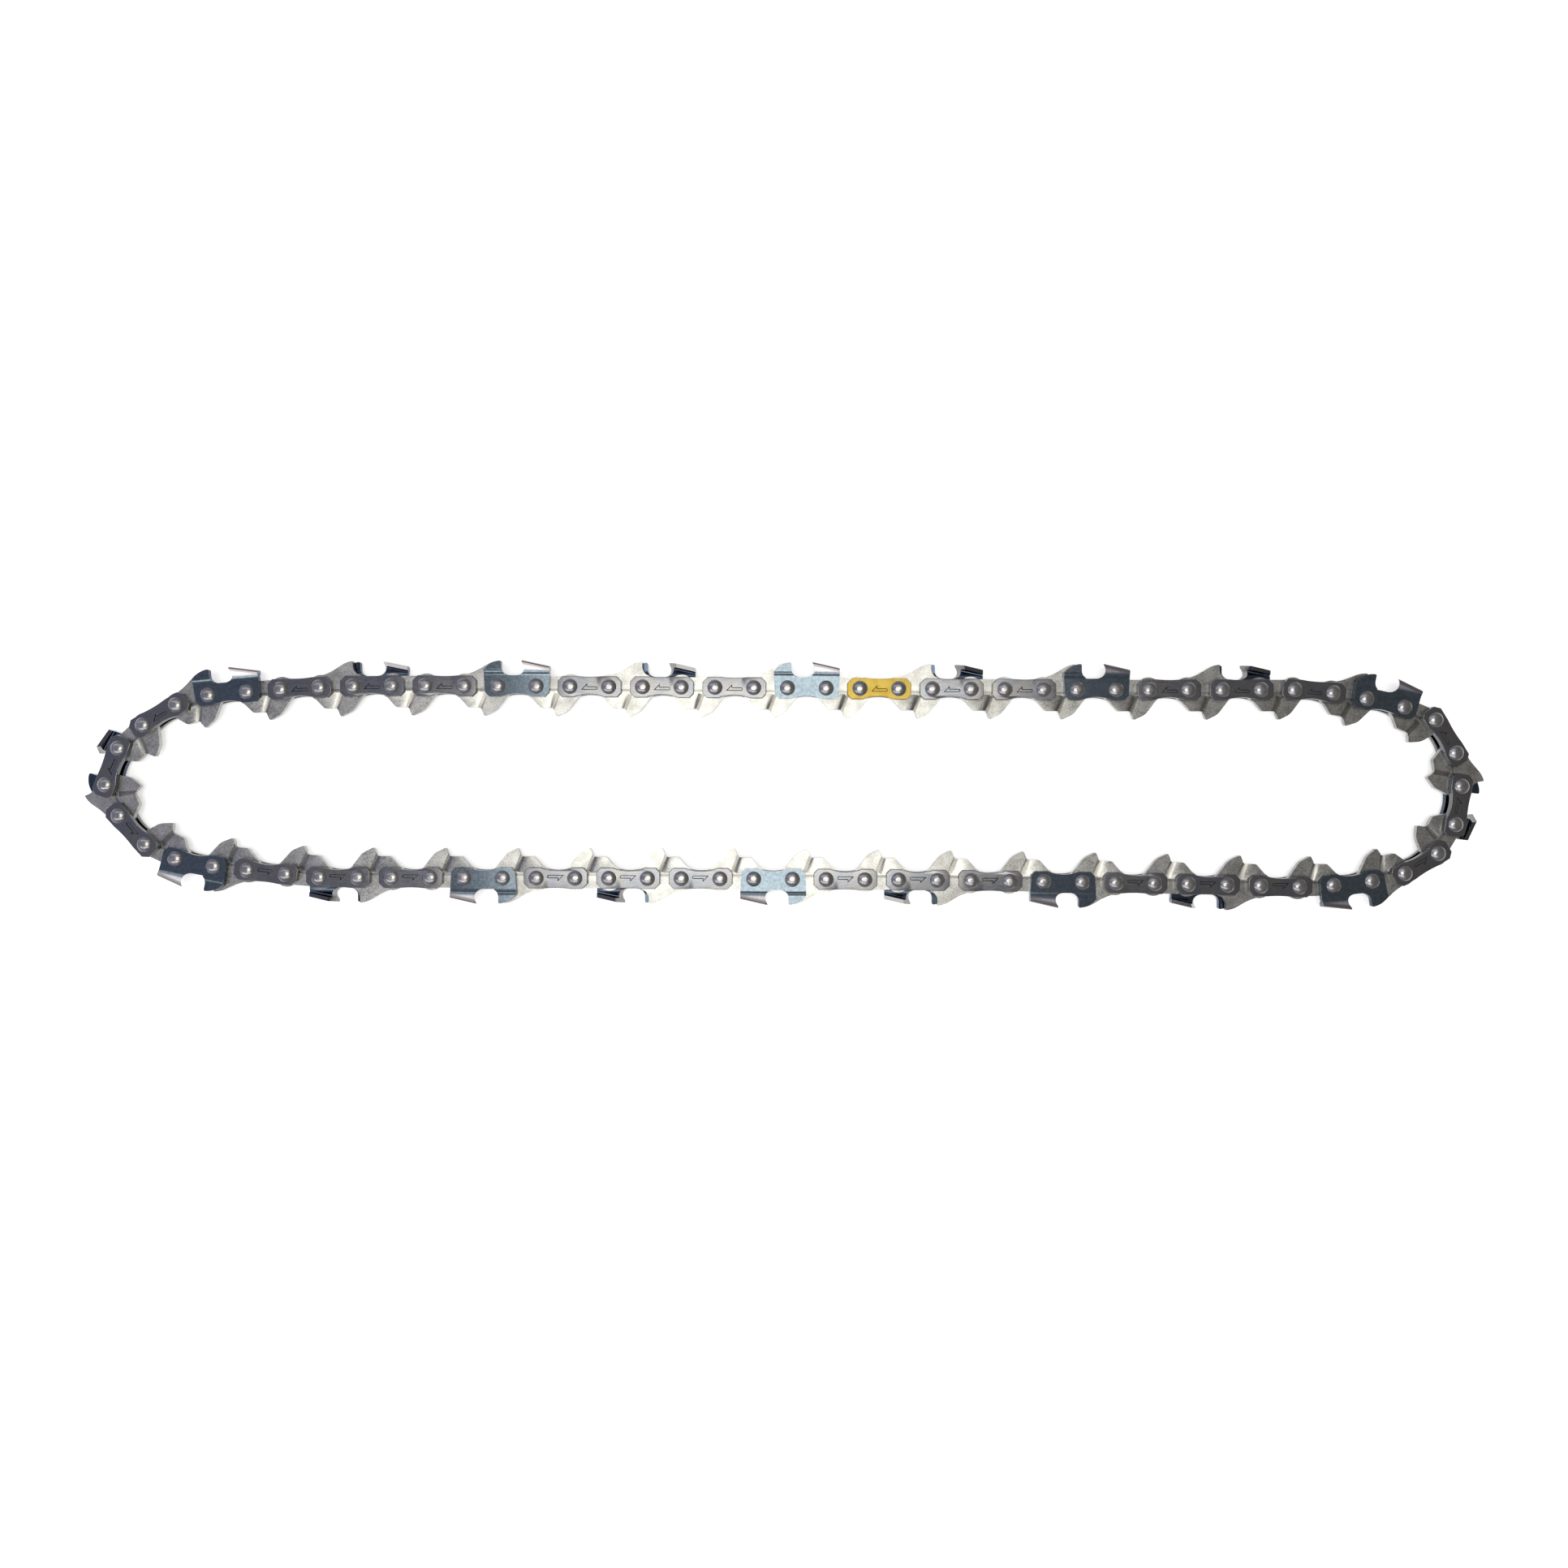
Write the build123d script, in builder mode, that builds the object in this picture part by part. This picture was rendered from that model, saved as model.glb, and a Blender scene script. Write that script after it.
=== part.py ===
from build123d import *
from math import cos, pi, radians, sin, tan
import os

import numpy as np

os.makedirs("parts", exist_ok=True)

# A low-profile saw chain closed into a loop, lying on its side in a long flat oval.
# Each link is drawn about the middle of its two rivets: x towards the rear of the
# chain's travel, y out of the loop, z up, with z = 0 on the chain's middle plane.
# All sizes are in millimetres, all angles in degrees.

# Chain layout
CUTTERS = 20            # one cutter link, two drive links and one pair of straps to each
STRAP_PITCH = 9.96      # between the rivets of a strap or a cutter
DRIVE_PITCH = 8.68      # between the rivets of a drive link

# How the loop lies: the bends at successive rivets round its two ends
RIGHT_BENDS = [5, 5, 3, 10, 36, 22, 19, 22, 28, 18, 7, 4, 4]
LEFT_BENDS = [5, 1, 0, 5, 14, 22, 19, 43, 27, 12, 14, 12, 1, 1, 1, 1, 1]
RIGHT_LEAD = 11         # rivets by which the right-hand bends start before halfway round
LEFT_LEAD = 12          # rivets by which the left-hand bends start before the last one
FIRST_HEADING = 5.1     # lie of the first cutter link, up from the X axis
CLOSING_ROUNDS = 8

# Drive links
DRIVE_T = 1.3
LOBE_R = 3.3            # rounded ends about the rivets
DRIVE_DIP = 2.65        # outer edge between the rounded ends
TANG_FRONT = (-6.6, -2.0)
TANG_HEEL = (-3.5, -5.45)
TANG_NOTCH = (-0.3, -5.45)
TANG_TIP = (0.65, -7.75)
TANG_BACK = (3.6, -6.3)
TANG_REAR = (6.8, -2.0)
HEEL_R = 0.8
NOTCH_R = 0.8
TIP_R = 0.4
BACK_R = 4.0

# Bumper ramp on the drive link ahead of a cutter
BUMPER_FOOT = (-5.0, 2.9)
BUMPER_CURVE = (-2.6, 3.6)
BUMPER_RISE = (-0.55, 4.6)
BUMPER_SHOULDER = (1.5, 5.85)
BUMPER_CREST = (2.7, 6.35)
BUMPER_TIP = (4.1, 6.6)
BUMPER_BACK = (4.1, 5.2)
BUMPER_HOLLOW = (4.5, 4.0)
BUMPER_HEEL = (5.7, 2.9)

# Coined grooves in both faces of a drive link
GROOVE_DEPTH = 0.25
GROOVE_W = 1.7          # slanted groove that runs out at the tang's notch
GROOVE_FLOOR = 0.8      # flat part of it, beside its steep rear wall
GROOVE_TOP = (1.6, -2.0)
GROOVE_END = (-0.25, -6.9)
OIL_GROOVE = (5.4, 0.6)  # length and width of the narrow groove between the rivets
OIL_DEPTH = 0.15
OIL_DROP = 0.8          # below the rivet line

# Straps and the flat side plates of cutters
SIDE_T = 1.25
SIDE_PLAY = 0.08        # between a drive link and the plate beside it
STRAP_END = 3.2         # plate past its rivets
STRAP_TOP = 2.7         # outer edge from the rivet line
STRAP_DIP = 0.2         # how far the outer edge dips between the rivets
DIP_HALF = 3.4
STRAP_LOBE = 2.7        # inner edge from the rivet line, at the rivets
STRAP_WAIST = 1.95      # inner edge from the rivet line, between the rivets
WAIST_HALF = 4.0
TOP_CORNER = 1.3
LOBE_CORNER = 1.1
EDGE_ROUND = 0.15

# Half arrow stamped in each strap, pointing along the chain's travel
MARK_LENGTH = 4.3
MARK_BAR = 0.85
MARK_BARB = 0.8         # barb above the bar
MARK_HEAD = 1.6         # length of the barb along the strap
MARK_DROP = 0.4         # middle of the bar below the rivet line
MARK_DEPTH = 0.15
MARK_LEAN = 50          # lean of its walls from upright, in degrees

# Cutters
CUTTER_FRONT = 8.5      # front edge of the depth gauge from the cutter's middle
CUTTER_REAR = 8.4       # rear edge of the tooth from the cutter's middle
GULLET_FLOOR = 2.9      # plate between depth gauge and tooth, above the rivet line
GULLET_R = 1.9
BEND_LINE = 3.2         # where the side plate leans out, above the rivet line
BEND_R = 3.6
FLARE = 21.0            # lean of the upper side plate
TOOTH_TOP = 6.9         # cutting corner above the rivet line
TOOTH_TIP = 0.3         # cutting corner from the cutter's middle
TOP_FALL = 12.0         # fall of the top plate towards its rear
TOP_T = 1.0
TOP_OVERHANG = 0.6      # cutting edge past the chain's middle plane
TOP_TAPER = 1.0         # how much narrower the top plate is at its rear
CORNER_R = 0.7          # outside bend between side and top plates
INSIDE_R = 0.45
FILE_R = 2.3            # round file that hollowed the tooth's front
FILE_HEIGHT = 5.1       # its axis above the rivet line
FILE_ANGLE = 30.0       # its slant across the chain
GAUGE_TOP = 6.55        # tip of the depth gauge above the rivet line
GAUGE_BACK = -4.0       # its rear edge from the cutter's middle
GAUGE_NOSE = 4.2        # where its rounded front starts
GAUGE_CURVE = (-7.1, 5.55)
GAUGE_CORNER = 0.4
GAUGE_LEAN = 18.0       # how far its plate leans out before it turns back upright
GAUGE_R = 1.0           # inside radius of that second bend
GAUGE_FLAT = 0.2        # straight part between the two bends

# Rivets
SHOULDER_R = 2.15       # middle part, which the drive link turns on
TURN_PLAY = 0.05        # radial play of a drive link on it
SHANK_R = 1.5
HEAD_R = 1.95
HEAD_FLAT_R = 0.35
HEAD_H = 0.75
HEAD_RIM = 0.1

# Heights of the faces above the chain's middle plane
PLATE_IN = DRIVE_T / 2 + SIDE_PLAY
PLATE_OUT = PLATE_IN + SIDE_T
HEAD_TOP = PLATE_OUT + HEAD_H
HOLE_R = SHOULDER_R + TURN_PLAY
STRAP_HALF = STRAP_PITCH / 2 + STRAP_END
STRAP_RIVETS = [(-STRAP_PITCH / 2, 0), (STRAP_PITCH / 2, 0)]
DRIVE_RIVETS = [(-DRIVE_PITCH / 2, 0), (DRIVE_PITCH / 2, 0)]


# Plain drive link: rounded ends, tang and grooves on its upper half, then the lower half alike
with BuildPart() as drive_link:
    with BuildSketch(Plane.XY):
        with BuildLine():
            FilletPolyline(
                (-DRIVE_PITCH / 2, DRIVE_DIP), TANG_FRONT, TANG_HEEL, TANG_NOTCH,
                TANG_TIP, TANG_BACK, TANG_REAR, (DRIVE_PITCH / 2, DRIVE_DIP),
                radius=[0, 0, HEEL_R, NOTCH_R, TIP_R, BACK_R, 0, 0],
                close=True,
            )
        make_face()
        with Locations(*DRIVE_RIVETS):
            Circle(LOBE_R)
            Circle(HOLE_R, mode=Mode.SUBTRACT)
    extrude(amount=DRIVE_T / 2)
    groove = Vector(*GROOVE_END) - Vector(*GROOVE_TOP)
    with BuildSketch(Plane((*GROOVE_TOP, DRIVE_T / 2), x_dir=(0, 0, -1), z_dir=groove)):
        with BuildLine():
            Polyline(
                (0, 0), (GROOVE_DEPTH, 0), (GROOVE_DEPTH, -GROOVE_FLOOR), (0, -GROOVE_W),
                close=True,
            )
        make_face()
    extrude(amount=groove.length, mode=Mode.SUBTRACT)
    with BuildSketch(Plane.XY.offset(DRIVE_T / 2)):
        with Locations((0, -OIL_DROP)):
            SlotOverall(*OIL_GROOVE)
    extrude(amount=-OIL_DEPTH, mode=Mode.SUBTRACT)
    mirror(about=Plane.XY)

# Drive link with the bumper ramp, which closes through the body of the link
with BuildPart() as bumper_link:
    add(drive_link.part)
    with BuildSketch(Plane.XY.offset(-DRIVE_T / 2)):
        with BuildLine():
            ThreePointArc(BUMPER_FOOT, BUMPER_CURVE, BUMPER_RISE)
            Line(BUMPER_RISE, BUMPER_SHOULDER)
            ThreePointArc(BUMPER_SHOULDER, BUMPER_CREST, BUMPER_TIP)
            Line(BUMPER_TIP, BUMPER_BACK)
            ThreePointArc(BUMPER_BACK, BUMPER_HOLLOW, BUMPER_HEEL)
            Polyline(BUMPER_HEEL, DRIVE_RIVETS[1], DRIVE_RIVETS[0], BUMPER_FOOT)
        make_face()
        with Locations(*DRIVE_RIVETS):
            Circle(HOLE_R, mode=Mode.SUBTRACT)
    extrude(amount=DRIVE_T)

# Tie strap on the upper side, with its half arrow
with BuildPart() as upper_strap:
    with BuildSketch(Plane.XY.offset(PLATE_IN)):
        with BuildLine():
            Polyline(
                (-DIP_HALF, STRAP_TOP),
                (TOP_CORNER - STRAP_HALF, STRAP_TOP),
                (-STRAP_HALF, STRAP_TOP - TOP_CORNER),
                (-STRAP_HALF, LOBE_CORNER - STRAP_LOBE),
                (LOBE_CORNER - STRAP_HALF, -STRAP_LOBE),
                (-WAIST_HALF, -STRAP_LOBE),
            )
            mirror(about=Plane.YZ)
            ThreePointArc((-DIP_HALF, STRAP_TOP), (0, STRAP_TOP - STRAP_DIP), (DIP_HALF, STRAP_TOP))
            ThreePointArc((-WAIST_HALF, -STRAP_LOBE), (0, -STRAP_WAIST), (WAIST_HALF, -STRAP_LOBE))
        make_face()
        with Locations(*STRAP_RIVETS):
            Circle(SHANK_R, mode=Mode.SUBTRACT)
    extrude(amount=SIDE_T)
    fillet(faces().sort_by(Axis.Z)[-1].outer_wire().edges(), EDGE_ROUND)
    with BuildSketch(Plane.XY.offset(PLATE_OUT)):
        bar_low = -MARK_DROP - MARK_BAR / 2
        bar_high = -MARK_DROP + MARK_BAR / 2
        tail = MARK_LENGTH / 2 - MARK_BAR / 2
        barb = MARK_HEAD - MARK_LENGTH / 2
        with BuildLine():
            Line((-MARK_LENGTH / 2, bar_low), (tail, bar_low))
            ThreePointArc((tail, bar_low), (MARK_LENGTH / 2, -MARK_DROP), (tail, bar_high))
            Polyline((tail, bar_high), (barb, bar_high), (barb, bar_high + MARK_BARB))
            Line((barb, bar_high + MARK_BARB), (-MARK_LENGTH / 2, bar_low))
        make_face()
    extrude(amount=-MARK_DEPTH, taper=MARK_LEAN, mode=Mode.SUBTRACT)

with BuildPart() as lower_strap:
    mirror(upper_strap.part, about=Plane.XY)


# Width of the leaning side plate's inner and outer faces at a height above the bend
def lean(height, face):
    return face + (height - BEND_LINE) * tan(radians(FLARE))


# Where the depth gauge's plate leans out, on a face bent to this radius: its bend starts with the tooth's
def gauge_line(radius):
    return BEND_LINE - radius * (tan(radians(FLARE) / 2) - tan(radians(GAUGE_LEAN) / 2))


# Left-hand cutter, on the upper side: two bent plates cut to outline, then the top plate
with BuildPart() as left_cutter:
    gauge_in = gauge_line(BEND_R + SIDE_T)
    gauge_out = gauge_line(BEND_R)
    bend_span = (BEND_R + SIDE_T + GAUGE_R) * tan(radians(GAUGE_LEAN) / 2) + GAUGE_FLAT
    gauge_rise = bend_span * cos(radians(GAUGE_LEAN))
    gauge_step = bend_span * sin(radians(GAUGE_LEAN))
    gullet_end = (GAUGE_BACK + GULLET_R, GULLET_FLOOR)
    with BuildSketch(Plane.YZ.offset(-CUTTER_FRONT)):
        with BuildLine():
            FilletPolyline(
                (-STRAP_LOBE, PLATE_IN),
                (gauge_in, PLATE_IN),
                (gauge_in + gauge_rise, PLATE_IN + gauge_step),
                (TOOTH_TOP, PLATE_IN + gauge_step),
                (TOOTH_TOP, PLATE_OUT + gauge_step),
                (gauge_out + gauge_rise, PLATE_OUT + gauge_step),
                (gauge_out, PLATE_OUT),
                (-STRAP_LOBE, PLATE_OUT),
                radius=[0, BEND_R + SIDE_T, GAUGE_R, 0, 0, GAUGE_R + SIDE_T, BEND_R, 0],
                close=True,
            )
        make_face()
    extrude(amount=CUTTER_FRONT + gullet_end[0])
    with BuildSketch(Plane.YZ.offset(gullet_end[0])):
        with BuildLine():
            FilletPolyline(
                (-STRAP_LOBE, PLATE_IN),
                (BEND_LINE, PLATE_IN),
                (TOOTH_TOP, lean(TOOTH_TOP, PLATE_IN)),
                (TOOTH_TOP, lean(TOOTH_TOP, PLATE_OUT)),
                (BEND_LINE, PLATE_OUT),
                (-STRAP_LOBE, PLATE_OUT),
                radius=[0, BEND_R + SIDE_T, 0, 0, BEND_R, 0],
                close=True,
            )
        make_face()
    extrude(amount=CUTTER_REAR - gullet_end[0])
    web_front = TOOTH_TIP - FILE_R / 2
    web_top = TOOTH_TOP - TOP_T / 2
    web_rear_top = web_top - (CUTTER_REAR - TOOTH_TIP) * tan(radians(TOP_FALL))
    with BuildSketch(Plane.XY):
        with BuildLine():
            gullet_start = (GAUGE_BACK, GULLET_FLOOR + GULLET_R)
            Polyline(gullet_end, (-CUTTER_FRONT, GULLET_FLOOR), (-CUTTER_FRONT, GAUGE_NOSE))
            ThreePointArc((-CUTTER_FRONT, GAUGE_NOSE), GAUGE_CURVE, (GAUGE_BACK, GAUGE_TOP))
            Line((GAUGE_BACK, GAUGE_TOP), gullet_start)
            TangentArc(gullet_start, gullet_end, tangent=(0, -1))
        make_face()
        fillet(vertices().sort_by(Axis.Y)[-1], GAUGE_CORNER)
        with BuildLine():
            Polyline(
                (web_front, GULLET_FLOOR), (web_front, web_top), (TOOTH_TIP, web_top),
                (CUTTER_REAR, web_rear_top), (CUTTER_REAR, GULLET_FLOOR),
                close=True,
            )
        make_face()
        with BuildLine():
            Polyline(
                (-WAIST_HALF, -STRAP_LOBE),
                (LOBE_CORNER - STRAP_HALF, -STRAP_LOBE),
                (-STRAP_HALF, LOBE_CORNER - STRAP_LOBE),
                (-CUTTER_FRONT, GULLET_FLOOR),
                (CUTTER_REAR, GULLET_FLOOR),
                (STRAP_HALF, LOBE_CORNER - STRAP_LOBE),
                (STRAP_HALF - LOBE_CORNER, -STRAP_LOBE),
                (WAIST_HALF, -STRAP_LOBE),
            )
            ThreePointArc((-WAIST_HALF, -STRAP_LOBE), (0, -STRAP_WAIST), (WAIST_HALF, -STRAP_LOBE))
        make_face()
        with Locations(*STRAP_RIVETS):
            Circle(SHANK_R, mode=Mode.SUBTRACT)
    extrude(amount=lean(TOOTH_TOP, PLATE_OUT), mode=Mode.INTERSECT)
    fall = tan(radians(TOP_FALL))
    slope = Vector(1, -fall, -fall * tan(radians(FLARE)))
    top_height = TOOTH_TOP + (TOOTH_TIP - web_front) * fall
    skirt = top_height - TOP_T - 2 * INSIDE_R
    with BuildSketch(Plane.YZ.offset(web_front)):
        with BuildLine():
            FilletPolyline(
                (skirt, lean(skirt, PLATE_OUT)),
                (top_height, lean(top_height, PLATE_OUT)),
                (top_height, -TOP_OVERHANG),
                (top_height - TOP_T, -TOP_OVERHANG),
                (top_height - TOP_T, lean(top_height - TOP_T, PLATE_IN)),
                (skirt, lean(skirt, PLATE_IN)),
                radius=[0, CORNER_R, 0, 0, INSIDE_R, 0],
                close=True,
            )
        make_face()
    extrude(amount=(CUTTER_REAR - web_front) * slope.length, dir=slope)
    with BuildSketch(Plane.XZ):
        with BuildLine():
            Polyline(
                (TOOTH_TIP, -TOP_OVERHANG),
                (CUTTER_REAR, TOP_TAPER - TOP_OVERHANG),
                (CUTTER_REAR, -TOOTH_TOP),
                (TOOTH_TIP, -TOOTH_TOP),
                close=True,
            )
        make_face()
    extrude(amount=-2 * TOOTH_TOP, mode=Mode.SUBTRACT)
    file_slant = tan(radians(FILE_ANGLE))
    corner_width = lean(TOOTH_TOP, PLATE_OUT)
    file_reach = (FILE_R**2 - (TOOTH_TOP - FILE_HEIGHT) ** 2) ** 0.5
    file_middle = Vector(TOOTH_TIP - file_reach, FILE_HEIGHT, corner_width)
    across = Plane(file_middle, x_dir=(1, 0, file_slant), z_dir=(-file_slant, 0, 1))
    with BuildSketch(across):
        Circle(FILE_R)
        with Locations((-FILE_R / 2, 0)):
            Rectangle(FILE_R, 2 * FILE_R)
    extrude(amount=4 * corner_width, both=True, mode=Mode.SUBTRACT)

with BuildPart() as right_cutter:
    mirror(left_cutter.part, about=Plane.XY)

# Shouldered rivet with a flattened dome on each end
with BuildPart() as rivet:
    with BuildSketch(Plane.XZ):
        with BuildLine():
            Polyline(
                (0, 0), (SHOULDER_R, 0), (SHOULDER_R, PLATE_IN), (SHANK_R, PLATE_IN),
                (SHANK_R, PLATE_OUT), (HEAD_R, PLATE_OUT), (HEAD_R, PLATE_OUT + HEAD_RIM),
            )
            TangentArc((HEAD_FLAT_R, HEAD_TOP), (HEAD_R, PLATE_OUT + HEAD_RIM), tangent=(1, 0))
            Polyline((HEAD_FLAT_R, HEAD_TOP), (0, HEAD_TOP), (0, 0))
        make_face()
        mirror(about=Plane.XZ)
    revolve(axis=Axis.Z)


# Changes the bends by the smallest even amount that makes the loop meet itself
def closed_turns(bends, lengths):
    turns = np.radians(bends)
    for _ in range(CLOSING_ROUNDS):
        headings = -np.concatenate(([0.0], np.cumsum(turns)[:-1]))
        steps = lengths * np.exp(1j * headings)
        swing = -1j * (steps.sum() - np.cumsum(steps))
        rates = np.vstack([swing.real, swing.imag, np.ones(len(turns))])
        misses = np.array([steps.sum().real, steps.sum().imag, turns.sum() - 2 * pi])
        turns = turns - rates.T @ np.linalg.solve(rates @ rates.T, misses)
    return turns


# Rivet line round the loop: strap and drive link by turns, clockwise from the top left
rivets = 4 * CUTTERS
lengths = np.array([STRAP_PITCH, DRIVE_PITCH] * (2 * CUTTERS))
bends = np.zeros(rivets)
bends[(rivets // 2 - RIGHT_LEAD + np.arange(len(RIGHT_BENDS))) % rivets] = RIGHT_BENDS
bends[(rivets - LEFT_LEAD + np.arange(len(LEFT_BENDS))) % rivets] = LEFT_BENDS
turns = closed_turns(bends, lengths)
headings = radians(FIRST_HEADING) - np.concatenate(([0.0], np.cumsum(turns)[:-1]))
steps = lengths * np.exp(1j * headings)
middles = np.cumsum(steps) - steps / 2
mid_height = left_cutter.part.bounding_box().max.Z


# Where a link lies, counted along the rivet line from the first cutter link
def lie(link, shift=(0, 0)):
    spot = middles[link]
    along = (steps[link].real, steps[link].imag, 0)
    return Plane((spot.real - shift[0], spot.imag - shift[1], mid_height), x_dir=along).location


# The kinds of link by turns: cutter link, plain drive link, pair of straps, bumper drive link
def link_pieces(link):
    kind = link % 4
    upper_cutter = link % 8 == 0
    if kind == 1:
        return [drive_link.part]
    if kind == 3:
        return [bumper_link.part]
    upper, lower = upper_strap.part, lower_strap.part
    if kind == 0 and upper_cutter:
        upper = left_cutter.part
    elif kind == 0:
        lower = right_cutter.part
    return [upper, lower] + [rivet.part.moved(Location(spot)) for spot in STRAP_RIVETS]


# The frame's origin is under the middle of the loop's own box
boxes = [piece.moved(lie(link)).bounding_box() for link in range(rivets) for piece in link_pieces(link)]
centre = (
    (min(box.min.X for box in boxes) + max(box.max.X for box in boxes)) / 2,
    (min(box.min.Y for box in boxes) + max(box.max.Y for box in boxes)) / 2,
)


def write_node(label, links):
    pieces = [piece.moved(lie(link, centre)) for link in links for piece in link_pieces(link)]
    node = Compound(label=label, children=pieces)
    export_step(node, f"parts/{label}.step")


for repeat in range(CUTTERS):
    first = 4 * repeat
    number = f"{repeat + 1:02d}"
    write_node(f"cutter_link_{number}", [first])
    write_node(f"drive_link_{number}", [first + 1])
    write_node(f"tie_link_{number}", [first + 2, first + 3])
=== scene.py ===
from math import radians

import bmesh
import bpy
from mathutils import Matrix, Vector


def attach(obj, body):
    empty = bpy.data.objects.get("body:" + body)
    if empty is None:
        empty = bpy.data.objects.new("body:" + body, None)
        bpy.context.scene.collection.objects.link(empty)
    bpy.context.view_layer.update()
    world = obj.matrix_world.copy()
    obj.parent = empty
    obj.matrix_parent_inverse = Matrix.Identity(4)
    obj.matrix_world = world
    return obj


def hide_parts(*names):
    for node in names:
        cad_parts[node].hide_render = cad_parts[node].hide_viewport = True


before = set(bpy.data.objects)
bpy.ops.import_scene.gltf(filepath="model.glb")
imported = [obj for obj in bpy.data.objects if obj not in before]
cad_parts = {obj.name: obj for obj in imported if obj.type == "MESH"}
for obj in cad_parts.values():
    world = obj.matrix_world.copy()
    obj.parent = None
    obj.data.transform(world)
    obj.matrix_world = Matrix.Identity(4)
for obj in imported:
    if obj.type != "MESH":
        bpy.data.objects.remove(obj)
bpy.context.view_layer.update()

# Sizes are in metres, written in millimetres times MM
MM = 0.001

# Camera, from the photograph: square, straight down, with the chain's middle just above its centre
PHOTO_SIZE = 1932
FOCAL_PIXELS = 1344
SENSOR = 36.0
CAMERA_HEIGHT = 285.4 * MM
CAMERA_SHIFT_Y = 0.33 * MM
CAMERA_NEAR = 10 * MM

# Pieces
CUTTERS = 20
GOLD_LINK = 5
SAME_POINT = 0.001 * MM
SEED_SPREAD = 97.0          # how far apart the grain of two like pieces may lie
RIVET_LENGTH = 5 * MM       # only the rivets are longer than this across the chain
CUTTER_DEPTH = 2 * MM       # only the cutters and rivets are deeper than this
FLAT_ANGLE = radians(0.5)
EDGE_ANGLE = radians(35)
EDGE_WIDTH = 0.14 * MM
EDGE_STEPS = 2
EDGE_CLEAR = 3              # widths of flat that a fully eased edge needs beside it

# Places on the links that take a tone of their own, in millimetres from the middle between a link's rivets
MARK_REACH = (2.6, 1.5)     # half the length and height of the space that holds the half arrow
GROOVE_FACE = 0.64          # just below a drive link's face
GROOVE_BED = 0.44           # bed of its slanted groove
TOP_FALL = 0.21             # how steeply a cutter's top plate falls towards its rear
PLATED_FROM = 3.85          # bright plating starts here, above the bend
PLATED_FULL = 4.75          # and is full here
GROUND_FROM = 3.1           # the file's hollow starts here
TOOTH_FROM = -2.5           # a cutter's tooth is behind this
# Placing of the painted shade band and dark rim of a cutter's top plate
BAND_FROM = 5.45            # grey band of the top plate starts here, outside
BAND_FULL = 6.15            # and is full here
TOP_RIM = 6.65              # its rim, inside
TOP_END = 0.65              # its end reaches this far past the chain's middle plane
TOP_UNDER = 5.5             # its underside
SOFT = 0.1                  # half the width over which one tone goes into the next
RIM_SOFT = 0.08             # the same at the rim

# Darker and lighter tone of each finish, in red, green and blue
DRIVE_TONES = (0.268, 0.269, 0.256), (0.474, 0.476, 0.455)
STRAP_TONES = (0.158, 0.167, 0.186), (0.183, 0.180, 0.180)
GOLD_TONES = (0.52, 0.37, 0.07), (0.62, 0.455, 0.105)
BLUED_TONES = (0.098, 0.125, 0.149), (0.131, 0.164, 0.192)
PLATED_TONES = (0.50, 0.49, 0.54), (0.62, 0.615, 0.66)
RIVET_TONES = (0.28, 0.278, 0.285), (0.36, 0.357, 0.36)
EDGE_TONES = {
    # Painted shade: drive-link edges darker than the link, for dark outlines
    "drive_edge_wear_and_shade": ((0.09, 0.085, 0.075), (0.24, 0.23, 0.21)),
    "strap_edge": ((0.16, 0.16, 0.175), (0.38, 0.38, 0.39)),
    "gold_edge": ((0.42, 0.27, 0.055), (0.74, 0.55, 0.18)),
    "cutter_edge": ((0.18, 0.22, 0.28), (0.50, 0.50, 0.51)),
    # Painted shade: rivet edges darker than the head, for a dark contact-shadow ring
    "rivet_edge_wear_and_shade": ((0.20, 0.195, 0.20), (0.30, 0.295, 0.30)),
}

# Tones of single places
STAIN = (0.30, 0.20, 0.12)
RUST = (0.25, 0.14, 0.08)
# Painted shade, darkest in the bed of a drive link's slanted groove
GROOVE_SHADE = (0.12, 0.112, 0.10)
STRAP_MARKS = (0.22, 0.22, 0.225)
# Painted shade on the walls of the half arrows stamped in the straps
STRAP_ARROW_SHADE = (0.04, 0.04, 0.048)
GOLD_ARROW_SHADE = (0.24, 0.14, 0.025)
# Painted shade: a darker blue for a cutter's inner faces
BLUED_INSIDE_SHADE = (0.055, 0.073, 0.105)
# Painted shade: a grey band on the outside of a cutter's top plate, for its rounded corner
TOP_BAND_SHADE = (0.24, 0.22, 0.225)
# Painted shade: a dark rim along the top plate's edge and end
RIM_SHADE = (0.13, 0.127, 0.135)
GROUND_GREY = (0.27, 0.265, 0.262)

# Floor, lights and room; -1 is the side below the chain in the photograph and 1 the side above it
FLOOR_SIZE = 60.0
FLOOR_TONE = (0.93, 0.93, 0.93)
FLOOR_ROUGHNESS = 0.9
FLOOR_SHEEN = 0.1
FLOOR_GLOW = 0.52
LAMP_HEIGHT = 0.90
LAMP_WIDTH = 0.18
LAMP_LENGTH = {-1: 0.44, 1: 0.505}
LAMP_X = {-1: -0.080, 1: -0.008}
LAMP_POWER = 14.5           # watts to a square metre
LAMP_COLOUR = (1.0, 0.975, 0.89)
STRIP_HEIGHT = 0.90
STRIP_REACH = 0.525
STRIP_LENGTH = 1.6
STRIP_WIDTH = 0.18
STRIP_X = -0.50
STRIP_WATTS = {-1: 2.9, 1: 1.25}
ROOM_LEFT = (0.39, 0.395, 0.515)
ROOM_RIGHT = (0.255, 0.24, 0.215)
ROOM_SIDES = 0.7            # the room's two tones meet between these, as shares of its half width
ROOM_RIM = (0.80, 0.80, 0.81)
RIM_HEIGHTS = (0.02, 0.18)  # the rim fades between these, as shares of the room's height


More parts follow.
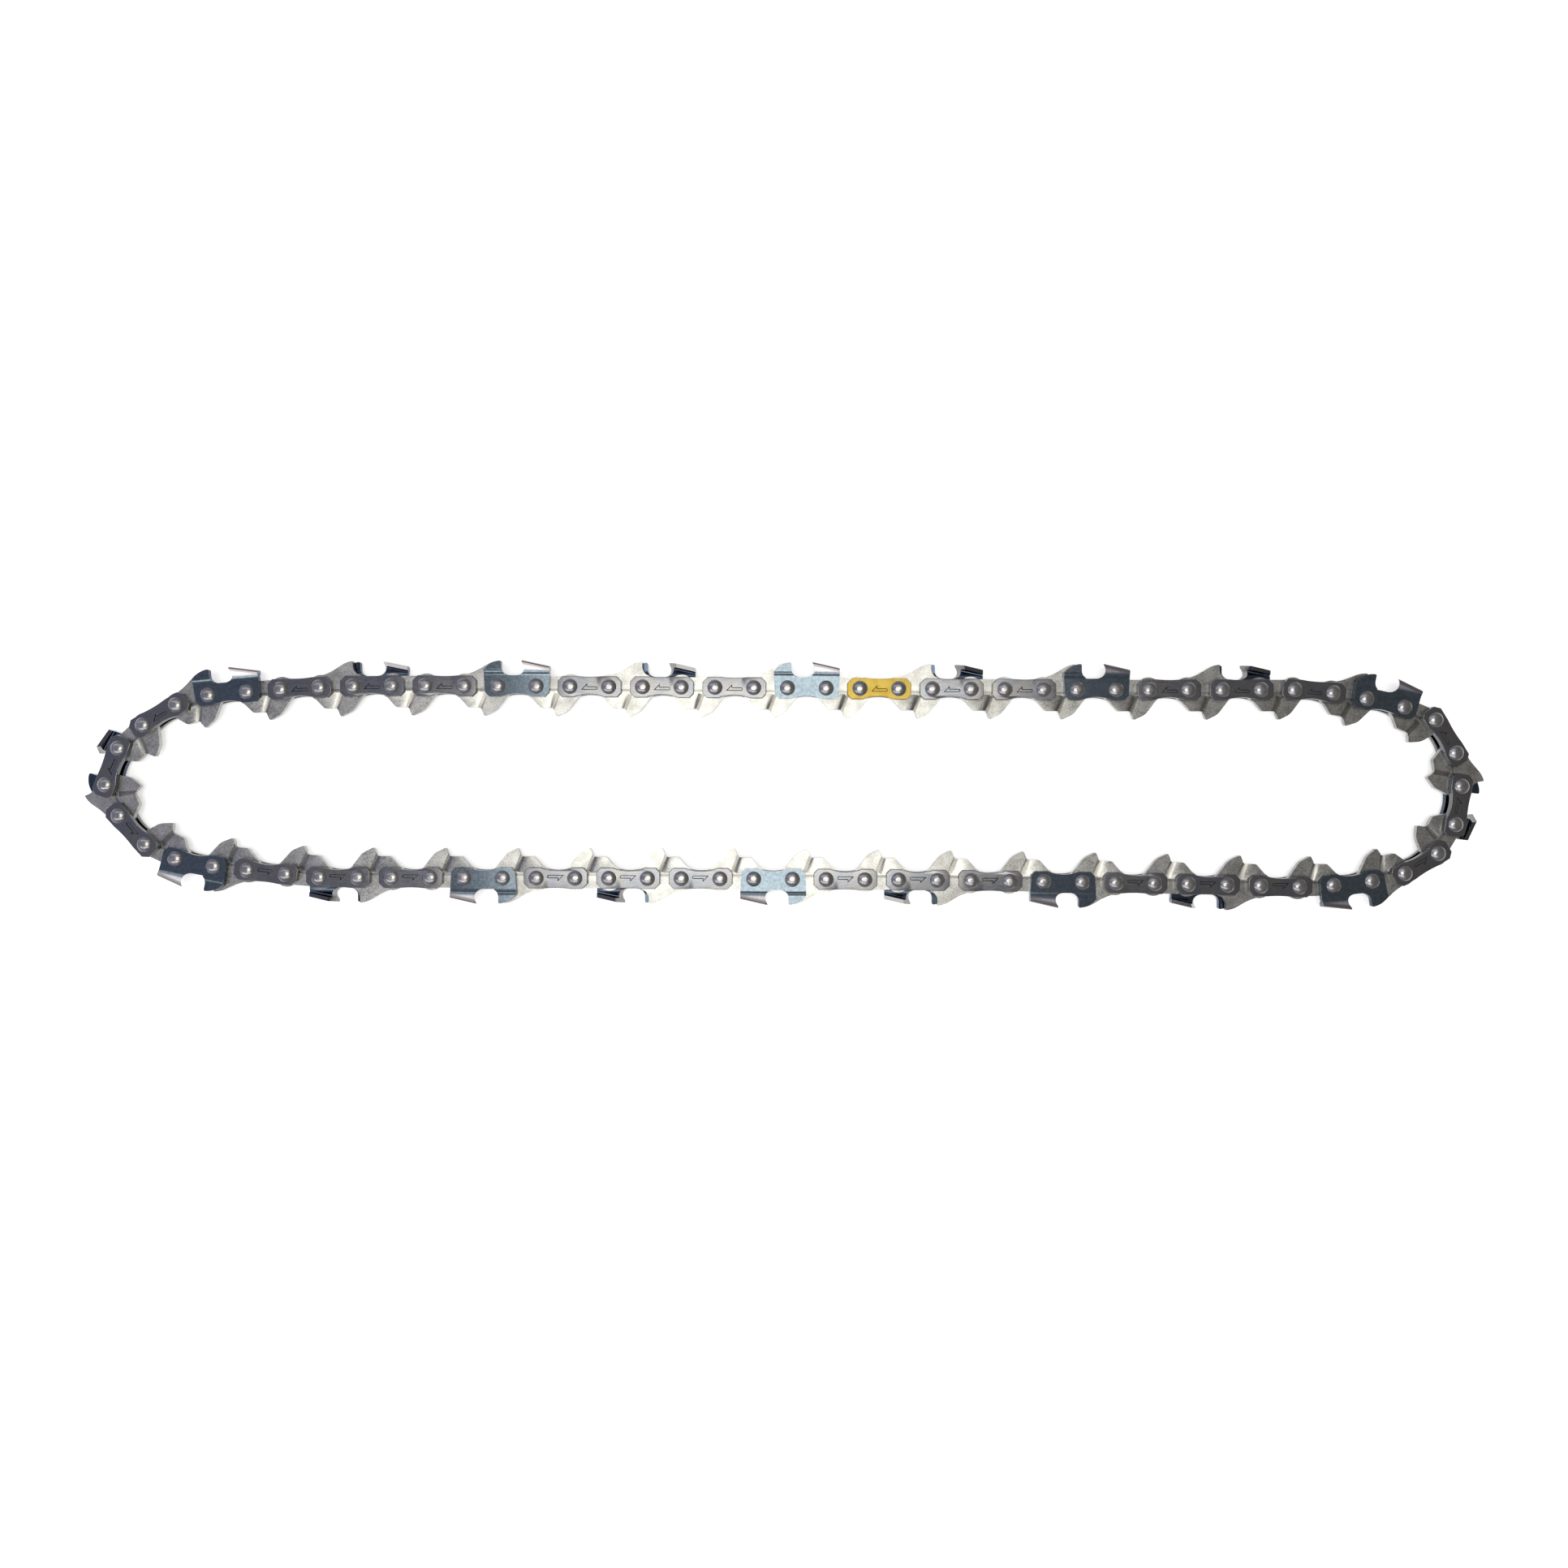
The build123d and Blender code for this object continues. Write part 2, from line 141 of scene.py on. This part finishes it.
# Splits a node's mesh into its solids: faces come solid by solid, and a solid is whole when no edge is open
def solids_of(node):
    mesh = node.data
    keys = [tuple(round(c / SAME_POINT) for c in v.co) for v in mesh.vertices]
    spots = {key: v.co.copy() for key, v in zip(keys, mesh.vertices)}
    solids, faces, open_edges = [], [], set()
    for polygon in mesh.polygons:
        corners = [keys[i] for i in polygon.vertices]
        if len(set(corners)) < 3:
            continue
        faces.append(corners)
        for a, b in zip(corners, corners[1:] + corners[:1]):
            open_edges ^= {frozenset((a, b))}
        if not open_edges:
            solids.append(faces)
            faces = []
    return [Solid(faces, spots) for faces in solids]


class Solid:
    def __init__(self, faces, spots):
        self.faces = faces
        self.spots = {key: spots[key] for face in faces for key in face}
        points = self.spots.values()
        self.low = Vector(min(p[k] for p in points) for k in range(3))
        self.high = Vector(max(p[k] for p in points) for k in range(3))
        self.middle = (self.low + self.high) / 2
        self.depth = self.high.z - self.low.z

    # Mesh of this solid in its link's own axes, eased in millimetres: its edges take the second material
    def mesh(self, name, place):
        to_link = Matrix.Scale(1 / MM, 4) @ place.inverted()
        index = {key: i for i, key in enumerate(self.spots)}
        mesh = bpy.data.meshes.new(name)
        mesh.from_pydata(
            [to_link @ spot for spot in self.spots.values()],
            [],
            [[index[key] for key in face] for face in self.faces],
        )
        work = bmesh.new()
        work.from_mesh(mesh)
        bmesh.ops.dissolve_limit(work, angle_limit=FLAT_ANGLE, verts=work.verts, edges=work.edges)
        weights = work.edges.layers.float.new("bevel_weight_edge")
        for edge in work.edges:
            edge[weights] = edge_weight(edge)
        work.to_mesh(mesh)
        work.free()
        mesh.shade_smooth()
        mesh.set_sharp_from_angle(angle=EDGE_ANGLE)
        mesh.materials.append(None)
        mesh.materials.append(None)
        carrier = bpy.data.objects.new(name, mesh)
        bpy.context.scene.collection.objects.link(carrier)
        bevel = carrier.modifiers.new("eased_edges", "BEVEL")
        bevel.limit_method = "WEIGHT"
        bevel.width = EDGE_WIDTH / MM
        bevel.segments = EDGE_STEPS
        bevel.material = 1
        bevel.harden_normals = True
        depsgraph = bpy.context.evaluated_depsgraph_get()
        eased = bpy.data.meshes.new_from_object(carrier.evaluated_get(depsgraph))
        eased.name = name
        eased.transform(Matrix.Scale(MM, 4))
        bpy.data.objects.remove(carrier)
        return eased


# How much an edge is eased: only outward corners, and less beside a narrow face
def edge_weight(edge):
    if edge.calc_face_angle_signed(0.0) < EDGE_ANGLE:
        return 0.0
    narrowest = min(face.calc_area() for face in edge.link_faces) / edge.calc_length()
    return min(1.0, narrowest / (EDGE_CLEAR * EDGE_WIDTH / MM))


# Builds one material's nodes; a socket given as an input is linked, anything else is set as its value
class Shader:
    def __init__(self, name):
        self.material = bpy.data.materials.new(name)
        self.material.use_nodes = True
        self.tree = self.material.node_tree
        self.tree.nodes.clear()
        self.output = self.tree.nodes.new("ShaderNodeOutputMaterial")
        coords = self.add("ShaderNodeTexCoord")
        info = self.add("ShaderNodeObjectInfo")
        self.normal = coords.outputs["Normal"]
        scaled = self.vector("MULTIPLY", coords.outputs["Object"], (1 / MM,) * 3)
        self.point = scaled
        seed = self.times(info.outputs["Random"], SEED_SPREAD)
        self.grain_point = self.vector("ADD", scaled, seed)

    def add(self, kind, settings=None, **inputs):
        node = self.tree.nodes.new(kind)
        for key, value in (settings or {}).items():
            setattr(node, key, value)
        for key, value in inputs.items():
            self.give(node.inputs[key.replace("_", " ")], value)
        return node

    def give(self, socket, value):
        if isinstance(value, bpy.types.NodeSocket):
            self.tree.links.new(value, socket)
        else:
            socket.default_value = value

    def math(self, operation, a, b=0.0):
        node = self.tree.nodes.new("ShaderNodeMath")
        node.operation = operation
        self.give(node.inputs[0], a)
        self.give(node.inputs[1], b)
        return node.outputs[0]

    def times(self, first, *others):
        for other in others:
            first = self.math("MULTIPLY", first, other)
        return first

    def vector(self, operation, a, b):
        node = self.tree.nodes.new("ShaderNodeVectorMath")
        node.operation = operation
        self.give(node.inputs[0], a)
        self.give(node.inputs[1], b)
        return node.outputs["Vector"]

    def axes(self, vector):
        node = self.add("ShaderNodeSeparateXYZ", Vector=vector)
        return node.outputs

    def noise(self, scale, detail=3.0, stretch=None, roughness=0.55):
        point = self.grain_point
        if stretch:
            point = self.vector("MULTIPLY", point, stretch)
        node = self.add("ShaderNodeTexNoise", Vector=point, Scale=scale, Detail=detail, Roughness=roughness)
        return node.outputs["Fac"]

    # Goes smoothly from 0 to 1 as the value goes from low to high
    def step(self, value, low, high, bottom=0.0, top=1.0):
        node = self.add("ShaderNodeMapRange", {"interpolation_type": "SMOOTHSTEP"}, Value=value)
        node.inputs["From Min"].default_value = low
        node.inputs["From Max"].default_value = high
        node.inputs["To Min"].default_value = bottom
        node.inputs["To Max"].default_value = top
        return node.outputs["Result"]

    # The same around a middle
    def rise(self, value, middle, half_width=SOFT):
        return self.step(value, middle - half_width, middle + half_width)

    # Spreads a noise, most of which lies between 0.3 and 0.7, from bottom to top
    def spread(self, noise, bottom=0.0, top=1.0):
        return self.step(noise, 0.3, 0.7, bottom, top)

    def mix(self, share, a, b):
        node = self.tree.nodes.new("ShaderNodeMix")
        node.data_type = "RGBA"
        self.give(node.inputs["Factor"], share)
        self.give(node.inputs["A"], (*a, 1) if isinstance(a, tuple) else a)
        self.give(node.inputs["B"], (*b, 1) if isinstance(b, tuple) else b)
        return node.outputs["Result"]

    def average(self, a, b):
        return self.math("ADD", self.times(a, 0.5), self.times(b, 0.5))

    def bump(self, height, depth, strength):
        node = self.add("ShaderNodeBump", Height=height, Distance=depth, Strength=strength)
        return node.outputs["Normal"]

    def metal(self, colour, roughness, normal):
        node = self.add("ShaderNodeBsdfPrincipled", Metallic=1.0)
        self.give(node.inputs["Base Color"], colour)
        self.give(node.inputs["Roughness"], roughness)
        self.give(node.inputs["Normal"], normal)
        self.tree.links.new(node.outputs["BSDF"], self.output.inputs["Surface"])
        return self.material


# Tumbled, fine-grained grey steel of the drive links, with brown stains and painted shade in the bed of the
# slanted groove
def drive_steel():
    s = Shader("drive_steel")
    across, facing = s.axes(s.point)[2], s.axes(s.normal)[2]
    grain = s.noise(2.8, 5.0)
    patches = s.noise(0.35)
    tone = s.math("ADD", s.times(grain, 0.55), s.times(patches, 0.45))
    colour = s.mix(s.step(tone, 0.35, 0.65), *DRIVE_TONES)
    stain = s.step(s.noise(0.9, 4.0), 0.70, 0.78)
    colour = s.mix(s.times(stain, 0.5), colour, STAIN)
    # Painted shade in the slanted groove, deeper towards its bed
    sunk = s.step(s.math("ABSOLUTE", across), GROOVE_FACE, GROOVE_BED, 0.0, 0.65)
    level = s.step(s.math("ABSOLUTE", facing), 0.3, 0.5)
    colour = s.mix(s.times(sunk, level), colour, GROOVE_SHADE)
    roughness = s.spread(grain, 0.27, 0.35)
    return s.metal(colour, roughness, s.bump(grain, 0.012 * MM, 0.4))


# Share of a strap's surface that is a wall of its half arrow, where painted shade goes
def arrow_wall_shade(s):
    along, height, across = (s.axes(s.point)[k] for k in range(3))
    outward = s.times(s.axes(s.normal)[2], s.math("SIGN", across))
    wall = s.times(s.step(outward, 0.95, 0.85), s.step(outward, 0.2, 0.4))
    for place, reach in zip((along, height), MARK_REACH):
        wall = s.times(wall, s.math("LESS_THAN", s.math("ABSOLUTE", place), reach))
    return wall


# Dark satin steel of the tie straps, with faint brown and violet heat tints and lengthwise marks, and
# painted shade on the walls of the half arrow
def strap_steel():
    s = Shader("strap_steel")
    tint = s.noise(0.22, 2.0)
    marks = s.noise(1.6, 5.0, (0.35, 3.0, 1.0))
    grain = s.noise(7.0, 3.0)
    colour = s.mix(s.step(tint, 0.35, 0.65), *STRAP_TONES)
    colour = s.mix(s.step(marks, 0.45, 0.75, 0.0, 0.2), colour, STRAP_MARKS)
    rust = s.step(s.noise(1.1, 4.0), 0.73, 0.80)
    colour = s.mix(s.times(rust, 0.6), colour, RUST)
    # Painted shade on the arrow's walls
    colour = s.mix(arrow_wall_shade(s), colour, STRAP_ARROW_SHADE)
    roughness = s.spread(marks, 0.19, 0.27)
    return s.metal(colour, roughness, s.bump(s.average(marks, grain), 0.003 * MM, 0.4))


# The one gold-tinted strap, with painted shade on the walls of its half arrow
def gold_strap():
    s = Shader("gold_strap")
    cloud = s.noise(0.5, 3.0)
    grain = s.noise(6.0, 3.0)
    colour = s.mix(s.spread(cloud), *GOLD_TONES)
    # Painted shade on the arrow's walls
    colour = s.mix(arrow_wall_shade(s), colour, GOLD_ARROW_SHADE)
    roughness = s.spread(grain, 0.46, 0.56)
    return s.metal(colour, roughness, s.bump(grain, 0.012 * MM, 0.35))


# Blued steel of the cutters: plated outside above the bend, ground in the hollow; the darker blue of the
# inner faces, the grey band on the top plate and its dark rim are painted shade
def cutter_steel():
    s = Shader("cutter_steel")
    along, height, across = (s.axes(s.point)[k] for k in range(3))
    facing = s.axes(s.normal)
    clouds = s.noise(1.3, 4.0)
    brushed = s.noise(2.2, 4.0, (4.0, 0.35, 0.35))
    grain = s.noise(7.0, 3.0)
    reach = s.math("ABSOLUTE", across)
    level = s.math("ADD", height, s.times(along, TOP_FALL))
    tooth = s.rise(along, TOOTH_FROM)
    outside = s.step(s.times(facing[2], s.math("SIGN", across)), -0.05, 0.15)
    outside = s.times(outside, s.step(reach, TOP_END, TOP_END + SOFT))
    plated = s.times(s.step(height, PLATED_FROM, PLATED_FULL), outside, tooth)
    band = s.times(s.step(level, BAND_FROM, BAND_FULL), outside, tooth)
    # Painted dark shade rim at the top plate's edge and end
    end = s.times(s.step(reach, TOP_END + SOFT, TOP_END), s.rise(level, TOP_UNDER))
    rim = s.math("MAXIMUM", s.rise(level, TOP_RIM, RIM_SOFT), end)
    rim = s.times(rim, tooth, s.math("SUBTRACT", 1.0, band))
    ground = s.times(s.rise(height, GROUND_FROM), tooth, s.step(facing[0], -0.45, -0.6))
    blue = s.mix(s.step(clouds, 0.35, 0.65), *BLUED_TONES)
    # Painted shade: darker blue on the inner faces
    blue = s.mix(outside, BLUED_INSIDE_SHADE, blue)
    bright = s.mix(s.spread(brushed), *PLATED_TONES)
    colour = s.mix(plated, blue, bright)
    # Painted shade: grey band on the top plate
    colour = s.mix(band, colour, TOP_BAND_SHADE)
    # Painted shade: dark rim of the top plate
    colour = s.mix(rim, colour, RIM_SHADE)
    colour = s.mix(ground, colour, GROUND_GREY)
    roughness = s.spread(grain, 0.12, 0.19)
    return s.metal(colour, roughness, s.bump(s.average(grain, brushed), 0.002 * MM, 0.4))


# Spun heads of the rivets, polished unevenly
def rivet_steel():
    s = Shader("rivet_steel")
    dents = s.noise(0.75, 2.0)
    grain = s.noise(6.0, 3.0)
    colour = s.mix(s.spread(dents), *RIVET_TONES)
    roughness = s.spread(grain, 0.24, 0.29)
    return s.metal(colour, roughness, s.bump(dents, 0.12 * MM, 0.4))


# Eased edges, worn lighter in patches; the darker tones of the drive-link and rivet edges are painted shade
def edge_wear_and_shade(name):
    s = Shader(name)
    patches = s.noise(1.3, 4.0)
    grain = s.noise(6.0, 2.0)
    colour = s.mix(s.step(patches, 0.38, 0.60), *EDGE_TONES[name])
    roughness = s.spread(grain, 0.24, 0.40)
    return s.metal(colour, roughness, s.bump(grain, 0.01 * MM, 0.3))


# Body and edges of each finish
FINISHES = {
    "drive_steel": (drive_steel(), edge_wear_and_shade("drive_edge_wear_and_shade")),
    "strap_steel": (strap_steel(), edge_wear_and_shade("strap_edge")),
    "gold_strap": (gold_strap(), edge_wear_and_shade("gold_edge")),
    "cutter_steel": (cutter_steel(), edge_wear_and_shade("cutter_edge")),
    "rivet_steel": (rivet_steel(), edge_wear_and_shade("rivet_edge_wear_and_shade")),
}


# Puts a piece on its link, in place of the node it comes from
def place_piece(name, mesh, place, node, slot):
    piece = bpy.data.objects.new(name, mesh)
    bpy.context.scene.collection.objects.link(piece)
    piece.matrix_world = place
    for material_slot, material in zip(piece.material_slots, FINISHES[slot]):
        material_slot.link = "OBJECT"
        material_slot.material = material
    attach(piece, node)
    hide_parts(node)


# Axes of a link: x from its front rivet to its rear one, z up, at the middle of the two
def link_axes(front, rear):
    x = (rear - front).normalized()
    z = Vector((0, 0, 1))
    turn = Matrix((x, z.cross(x), z)).transposed().to_4x4()
    return Matrix.Translation((front + rear) / 2) @ turn


solids = {name: solids_of(node) for name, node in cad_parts.items()}


# The two rivets of a cutter link or tie link, the one nearer to another link first
def rivets_from(node, other):
    spots = [solid.middle for solid in solids[node] if solid.depth > RIVET_LENGTH]
    return sorted(spots, key=lambda spot: (spot - solids[other][0].middle).length)


chain = []
for number in range(1, CUTTERS + 1):
    cutter, drive, tie = (f"{kind}_link_{number:02d}" for kind in ("cutter", "drive", "tie"))
    chain.append((cutter, list(reversed(rivets_from(cutter, drive)))))
    chain.append((tie, rivets_from(tie, drive)))

meshes = {}


def shared_mesh(kind, solid, place):
    if kind not in meshes:
        meshes[kind] = solid.mesh(kind, place)
    return meshes[kind]


rivet_number = 0
for turn, (node, (front, rear)) in enumerate(chain):
    number = node[-2:]
    place = link_axes(front, rear)
    next_front = chain[(turn + 1) % len(chain)][1][0]
    after = link_axes(rear, next_front)
    for solid in solids[node]:
        upper = solid.middle.z > front.z
        if solid.depth > RIVET_LENGTH:
            rivet_number += 1
            spot = Matrix.Translation(solid.middle) @ place.to_3x3().to_4x4()
            mesh = shared_mesh("rivet", solid, spot)
            place_piece(f"rivet_{rivet_number:02d}", mesh, spot, node, "rivet_steel")
        elif solid.depth > CUTTER_DEPTH:
            kind = "left_cutter" if upper else "right_cutter"
            place_piece(f"{kind}_{number}", shared_mesh(kind, solid, place), place, node, "cutter_steel")
        elif solid.low.z < front.z < solid.high.z:
            mesh = shared_mesh("bumper_drive_link", solid, after)
            place_piece(f"bumper_drive_link_{number}", mesh, after, node, "drive_steel")
        else:
            kind = "near_strap" if upper else "far_strap"
            slot = "gold_strap" if upper and node == f"tie_link_{GOLD_LINK:02d}" else "strap_steel"
            name = f"{kind}_{node[:-8]}_{number}"
            place_piece(name, shared_mesh(kind, solid, place), place, node, slot)
    if node.startswith("cutter"):
        drive = f"drive_link_{number}"
        mesh = shared_mesh("plain_drive_link", solids[drive][0], after)
        place_piece(f"plain_drive_link_{number}", mesh, after, drive, "drive_steel")


# Pale floor, which shows white and keeps the chain's shadow
def make_floor():
    bpy.ops.mesh.primitive_plane_add(size=FLOOR_SIZE)
    floor = bpy.context.object
    floor.name = "floor"
    material = bpy.data.materials.new("floor")
    material.use_nodes = True
    tree = material.node_tree
    shader = tree.nodes["Principled BSDF"]
    shader.inputs["Base Color"].default_value = (*FLOOR_TONE, 1)
    shader.inputs["Roughness"].default_value = FLOOR_ROUGHNESS
    shader.inputs["Specular IOR Level"].default_value = FLOOR_SHEEN
    shader.inputs["Emission Color"].default_value = (1, 1, 1, 1)
    rays = tree.nodes.new("ShaderNodeLightPath")
    seen = rays.outputs["Is Camera Ray"]
    for kind in ("Is Glossy Ray", "Is Transmission Ray"):
        both = tree.nodes.new("ShaderNodeMath")
        both.operation = "MAXIMUM"
        tree.links.new(seen, both.inputs[0])
        tree.links.new(rays.outputs[kind], both.inputs[1])
        seen = both.outputs[0]
    glow = tree.nodes.new("ShaderNodeMath")
    glow.operation = "MULTIPLY"
    glow.inputs[1].default_value = FLOOR_GLOW
    tree.links.new(seen, glow.inputs[0])
    tree.links.new(glow.outputs[0], shader.inputs["Emission Strength"])
    floor.data.materials.append(material)


def make_lamp(name, spot, size_x, size_y, watts):
    lamp = bpy.data.lights.new(name, "AREA")
    lamp.shape = "RECTANGLE"
    lamp.size, lamp.size_y = size_x, size_y
    lamp.energy = watts
    lamp.color = LAMP_COLOUR
    holder = bpy.data.objects.new(name, lamp)
    bpy.context.scene.collection.objects.link(holder)
    holder.location = spot
    holder.rotation_euler = Vector((0, -spot[1], -spot[2])).to_track_quat("-Z", "Y").to_euler()


# Dim room, a little cooler and lighter on the left, with a pale rim round the floor
def make_world():
    world = bpy.data.worlds.new("room")
    bpy.context.scene.world = world
    world.use_nodes = True
    tree = world.node_tree
    coords = tree.nodes.new("ShaderNodeTexCoord")
    axes = tree.nodes.new("ShaderNodeSeparateXYZ")
    tree.links.new(coords.outputs["Generated"], axes.inputs[0])
    side = tree.nodes.new("ShaderNodeMapRange")
    side.inputs["From Min"].default_value = -ROOM_SIDES
    side.inputs["From Max"].default_value = ROOM_SIDES
    tree.links.new(axes.outputs["X"], side.inputs["Value"])
    overhead = tree.nodes.new("ShaderNodeMix")
    overhead.data_type = "RGBA"
    overhead.inputs["A"].default_value = (*ROOM_LEFT, 1)
    overhead.inputs["B"].default_value = (*ROOM_RIGHT, 1)
    tree.links.new(side.outputs["Result"], overhead.inputs["Factor"])
    rise = tree.nodes.new("ShaderNodeMapRange")
    rise.interpolation_type = "SMOOTHSTEP"
    rise.inputs["From Min"].default_value, rise.inputs["From Max"].default_value = RIM_HEIGHTS
    tree.links.new(axes.outputs["Z"], rise.inputs["Value"])
    sky = tree.nodes.new("ShaderNodeMix")
    sky.data_type = "RGBA"
    sky.inputs["A"].default_value = (*ROOM_RIM, 1)
    tree.links.new(overhead.outputs["Result"], sky.inputs["B"])
    tree.links.new(rise.outputs["Result"], sky.inputs["Factor"])
    tree.links.new(sky.outputs["Result"], tree.nodes["Background"].inputs["Color"])


def make_camera():
    data = bpy.data.cameras.new("camera")
    data.sensor_width = SENSOR
    data.lens = FOCAL_PIXELS / PHOTO_SIZE * SENSOR
    data.clip_start = CAMERA_NEAR
    camera = bpy.data.objects.new("camera", data)
    camera.location = (0, CAMERA_SHIFT_Y, CAMERA_HEIGHT)
    bpy.context.scene.collection.objects.link(camera)
    bpy.context.scene.camera = camera


make_floor()
for way, length in LAMP_LENGTH.items():
    spot = (LAMP_X[way], way * LAMP_WIDTH / 2, LAMP_HEIGHT)
    make_lamp(f"top_softbox_{way}", spot, length, LAMP_WIDTH, LAMP_POWER * length * LAMP_WIDTH)
for way, watts in STRIP_WATTS.items():
    spot = (STRIP_X, way * STRIP_REACH, STRIP_HEIGHT)
    make_lamp(f"side_strip_{way}", spot, STRIP_LENGTH, STRIP_WIDTH, watts)
make_world()
make_camera()
bpy.context.scene.view_settings.view_transform = "Standard"
